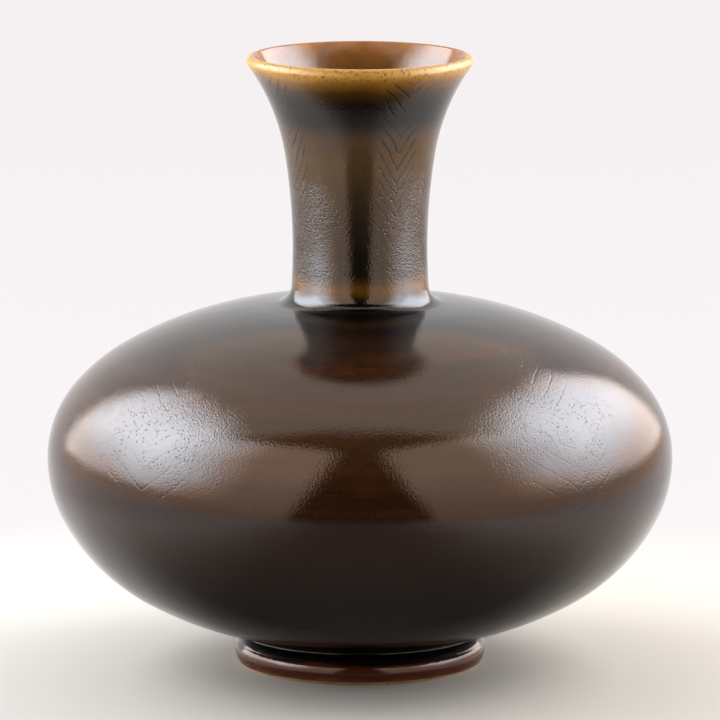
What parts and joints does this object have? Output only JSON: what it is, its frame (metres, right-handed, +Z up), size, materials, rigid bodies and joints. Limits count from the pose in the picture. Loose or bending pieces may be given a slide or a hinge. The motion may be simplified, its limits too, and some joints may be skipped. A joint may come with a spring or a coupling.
{
  "type": "bottle vase",
  "caption": "Squat glazed stoneware bottle vase with a wide flattened belly, a narrow neck that flares to a trumpet mouth, and a foot ring.",
  "frame": {"origin": "on the table, under the middle of the foot ring", "axes": "+Z up along the axis that the vase is thrown on, through the middle of the mouth; X and Y lie in the table's plane"},
  "size_m": [0.1834, 0.1834, 0.18],
  "materials": {
    "stoneware": "matt, fine-grained, fired buff",
    "slip": "matt, fired joining slip",
    "outer_glaze": "glossy dark iron-brown glaze that breaks to rust and amber",
    "liner_glaze": "glossy amber-brown glaze",
    "base_glaze": "glossy dark brown glaze"
  },
  "bodies": {
    "root": {"lower_body": "stoneware", "belly_luting_slip": "slip", "upper_body": "stoneware", "neck_luting_slip": "slip", "neck": "stoneware", "foot_ring": "stoneware", "foot_luting_slip": "slip", "outer_glaze": "outer_glaze", "liner_glaze": "liner_glaze", "base_glaze": "base_glaze"}
  },
  "joints": []
}
